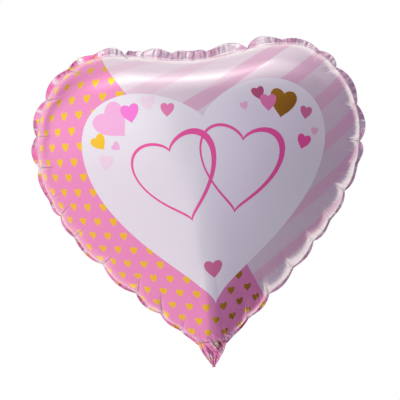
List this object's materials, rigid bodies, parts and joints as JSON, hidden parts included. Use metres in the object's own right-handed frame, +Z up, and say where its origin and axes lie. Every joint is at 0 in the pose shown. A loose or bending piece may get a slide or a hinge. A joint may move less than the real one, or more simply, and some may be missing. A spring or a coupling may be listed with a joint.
{
  "type": "heart-shaped foil balloon",
  "caption": "Inflated heart-shaped foil balloon: welded films with a puckered hem, a printed front, and a filling tail with a film valve folded up behind the point.",
  "frame": {"origin": "middle of the balloon's box, in the plane of the weld", "axes": "+Z up from the point to the notch, -Y the printed front, +X to the right as seen from the front"},
  "size_m": [0.3656, 0.1772, 0.3568],
  "materials": {
    "printed_film": "metallised nylon film, pearl white and pink print with gold hearts, glossy",
    "plain_film": "metallised nylon film, plain silver with a faint pink cast, glossy",
    "valve_film": "clear polyethylene film, satin"
  },
  "bodies": {
    "root": {"front_panel": "printed_film", "back_panel": "plain_film", "valve_front_film": "valve_film", "valve_back_film": "valve_film"}
  },
  "joints": []
}
